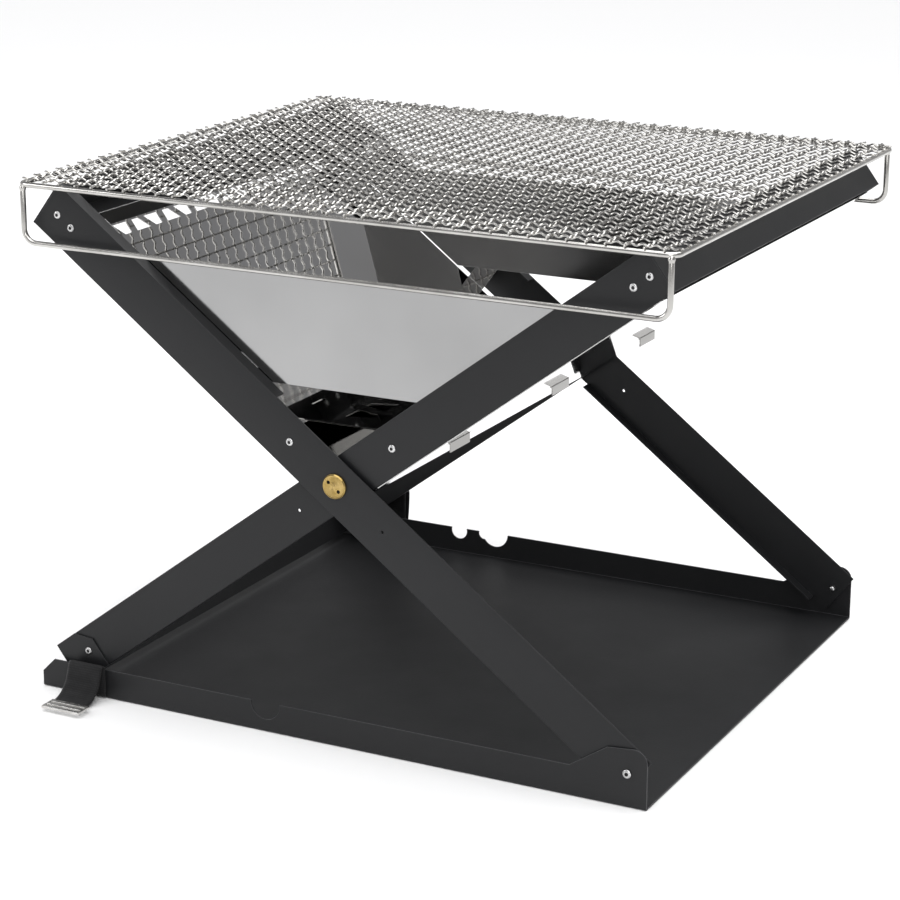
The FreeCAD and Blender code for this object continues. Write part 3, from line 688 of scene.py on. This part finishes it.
ROD = 2.5 * MM
WIRE_RADIUS = 1.0 * MM
MESH_PITCH = 16.5 * MM
MESH_RISE = 0.95 * MM
CRIMPS = 3                          # half waves between two crossings
STEPS_PER_WAVE = 6
CORNER_STEPS = 8
ROD_SIDES = 16
WIRE_SIDES = 6
LOOP_BEND = 9 * MM
HANDLE_BEND = 12 * MM
WIRE_INSET = 0.6 * MM               # from the frame's outside to a wire's end
MESH_LIFT = 0.35 * MM               # the wires' middle above the rods' tops, beyond a wire's radius
END_FADE = 7 * MM                   # a wire's waves die out over this length at its ends
WELD = [(2.5 * MM, -4.2 * MM), (2.75 * MM, -3.0 * MM), (3.1 * MM, -2.0 * MM), (3.0 * MM, -0.8 * MM),
        (2.2 * MM, 0.4 * MM)]


def rounded_loop(half_x, half_y, z, radius):
    """Points of a level rectangle with rounded corners."""
    points = []
    for way_x, way_y, start in ((1, 1, 0), (-1, 1, 90), (-1, -1, 180), (1, -1, 270)):
        for i in range(CORNER_STEPS + 1):
            angle = math.radians(start + 90 * i / CORNER_STEPS)
            points.append((way_x * (half_x - radius) + radius * math.cos(angle),
                           way_y * (half_y - radius) + radius * math.sin(angle), z))
    return points


def make_rods():
    low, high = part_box("grate_frame")
    half_x, half_y = high.x - ROD, high.y - ROD
    level = (low.z + high.z) / 2
    around = tube(rounded_loop(half_x, half_y, level, LOOP_BEND), ROD, ROD_SIDES, closed=True)
    loop = gathered("grate_loop", [around], WIRE)
    piece("grate_frame_rod", loop, "grate", "stainless_wire", "grate_frame")
    for name, side in SIDES.items():
        node = f"grate_handle_{name}"
        low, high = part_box(node)
        x0, x1 = low.x + ROD, high.x - ROD
        y, bottom, top = (low.y + high.y) / 2, low.z + ROD, high.z
        bend = HANDLE_BEND
        points = [(x0, y, top), (x0, y, bottom + bend)]
        for i in range(1, CORNER_STEPS + 1):
            angle = math.radians(180 + 90 * i / CORNER_STEPS)
            points.append((x0 + bend + bend * math.cos(angle), y, bottom + bend + bend * math.sin(angle)))
        for i in range(CORNER_STEPS + 1):
            angle = math.radians(270 + 90 * i / CORNER_STEPS)
            points.append((x1 - bend + bend * math.cos(angle), y, bottom + bend + bend * math.sin(angle)))
        points.append((x1, y, top))
        shapes = [tube(points, ROD, ROD_SIDES)]
        for x in (x0, x1):
            shapes.append(lathe(WELD, (x, y, top), (0, 0, 1), steps=ROD_SIDES))
        piece(f"{node}_rod", gathered(node + "_bent", shapes, WIRE), "grate", "stainless_wire", node)


def make_mesh():
    """Plain weave of crimped wires: between two crossings each wire also makes one small wave of its own."""
    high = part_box("grate_frame")[1]
    reach_x, reach_y = high.x - WIRE_INSET, high.y - WIRE_INSET
    level = high.z + WIRE_RADIUS + MESH_LIFT
    columns = int((2 * (high.x - 2 * ROD)) // MESH_PITCH) + 1
    rows = int((2 * (high.y - 2 * ROD)) // MESH_PITCH) + 1
    edge_x, edge_y = -(columns - 1) / 2 * MESH_PITCH, -(rows - 1) / 2 * MESH_PITCH
    step = 2 * MESH_PITCH / CRIMPS / STEPS_PER_WAVE

    def wire(reach, first, sign, place_at):
        count = int(2 * reach / step)
        points = []
        for i in range(count + 1):
            run = -reach + 2 * reach * i / count
            fade = min(1.0, (reach - abs(run)) / END_FADE)
            rise = sign * MESH_RISE * math.cos(CRIMPS * math.pi * (run - first) / MESH_PITCH)
            points.append(place_at(run, level + rise * fade * fade))
        return tube(points, WIRE_RADIUS, WIRE_SIDES)

    shapes = []
    for j in range(rows):
        y = edge_y + j * MESH_PITCH
        shapes.append(wire(reach_x, edge_x, (-1) ** j, lambda run, z, y=y: (run, y, z)))
    for i in range(columns):
        x = edge_x + i * MESH_PITCH
        shapes.append(wire(reach_y, edge_y, -(-1) ** i, lambda run, z, x=x: (x, run, z)))
    piece("grate_mesh_woven", gathered("woven_mesh", shapes, WIRE), "grate", "stainless_wire", "grate_mesh")


# --- strap ---------------------------------------------------------------------------------------

STRAP_WIDTH = 36 * MM
STRAP_THICK = 1.6 * MM
BAND_STEPS = 14
SELVEDGE_AT = 1.6 * MM              # from the band's edge
SELVEDGE_SPREAD = 1.1 * MM
SELVEDGE_SWELL = 0.09               # share of the thickness, on each face
EDGE_THIN = 0.45
RIB_HEIGHT = 0.00018
RIB_RATE = 620                      # radians a metre along the band
BUCKLE_EDGE = 0.7 * MM


def smooth_route(route, steps=8):
    """Points of a Catmull-Rom curve through a route of (y, z) points."""
    points = [Vector(p) for p in route]
    padded = [points[0] * 2 - points[1], *points, points[-1] * 2 - points[-2]]
    found = []
    for a, b, c, d in zip(padded, padded[1:], padded[2:], padded[3:]):
        for i in range(steps):
            t = i / steps
            found.append(0.5 * (2 * b + (c - a) * t + (2 * a - 5 * b + 4 * c - d) * t * t
                                + (3 * b - a - 3 * c + d) * t ** 3))
    found.append(points[-1])
    return found


def band(name, route, centre_x, width, body, node):
    """A closed band of webbing with thicker selvedges, and UVs in metres, and its length."""
    line = smooth_route(route)
    runs = [0.0]
    for a, b in zip(line, line[1:]):
        runs.append(runs[-1] + (b - a).length)
    work = bmesh.new()
    uv = work.loops.layers.uv.new("band")
    rows = []
    for i, point in enumerate(line):
        before, after = line[max(i - 1, 0)], line[min(i + 1, len(line) - 1)]
        along = (after - before).normalized()
        normal = Vector((0, -along.y, along.x))
        row = []
        for face in (1, -1):
            for j in range(BAND_STEPS + 1):
                part = j / BAND_STEPS
                near = min(part, 1 - part) * width
                swell = SELVEDGE_SWELL * math.exp(-((near - SELVEDGE_AT) / SELVEDGE_SPREAD) ** 2)
                thick = STRAP_THICK * (0.5 + swell)
                if near < 0.2 * MM:
                    thick *= EDGE_THIN
                ripple = RIB_HEIGHT * math.sin(runs[i] * RIB_RATE) if near > 1 * MM else 0.0
                spot = Vector((centre_x + (part - 0.5) * width * face, point.x, point.y))
                vert = work.verts.new(spot + normal * (thick + ripple) * face)
                row.append((vert, part * width * face, runs[i]))
        rows.append(row)
    count = len(rows[0])
    for low, high in zip(rows, rows[1:]):
        for j in range(count):
            k = (j + 1) % count
            corners = [low[j], low[k], high[k], high[j]]
            face = work.faces.new([c[0] for c in corners])
            face.smooth = True
            for loop, corner in zip(face.loops, corners):
                loop[uv].uv = (corner[1], corner[2])
    for row, order in ((rows[0], -1), (rows[-1], 1)):
        half = count // 2
        for j in range(half - 1):
            corners = [row[j], row[j + 1], row[count - 2 - j], row[count - 1 - j]][::order]
            face = work.faces.new([c[0] for c in corners])
            for loop, corner in zip(face.loops, corners):
                loop[uv].uv = (corner[1], corner[2])
    bmesh.ops.recalc_face_normals(work, faces=work.faces)
    mesh = bpy.data.meshes.new(name)
    work.to_mesh(mesh)
    work.free()
    mesh.materials.append(WEBBING)
    thing = piece(name, mesh, body, "webbing", node)
    return thing, runs[-1]


# Routes are (y, z) in millimetres, y from the tray's front or rear edge and z from the ground.
FRONT_ROUTE = [(-1.2, 1.4), (-1.2, 27.0), (-2.4, 30.4), (-4.6, 30.8), (-6.6, 27.5), (-9.2, 20.0),
               (-12.6, 13.0), (-19.0, 6.4), (-26.0, 2.9), (-34.0, 1.5)]
REAR_ROUTE = [(1.2, 1.4), (1.2, 48.0), (2.2, 56.0), (4.4, 60.0), (7.8, 60.0), (10.4, 55.0), (10.8, 48.0),
              (9.0, 30.0), (5.4, 14.0), (3.4, 4.0)]


def make_strap():
    low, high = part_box("base_tray")
    for name, shape, face in (("front", FRONT_ROUTE, low.y), ("rear", REAR_ROUTE, high.y)):
        node = f"strap_{name}"
        left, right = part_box(node)
        route = [(face + y * MM, z * MM) for y, z in shape]
        centre = (left.x + right.x) / 2
        thing, length = band(f"{node}_band", route, centre, STRAP_WIDTH, "base", node)


def make_buckle():
    soft_edged("strap_buckle", "base", "buckle_steel", BUCKLE, width=BUCKLE_EDGE)
    soft_edged("strap_rivets", "base", "rivet_steel", RIVET)


make_camera()
make_stage()
make_sheet_metal()
make_rivets()
make_pivots()
make_rods()
make_mesh()
make_strap()
make_buckle()
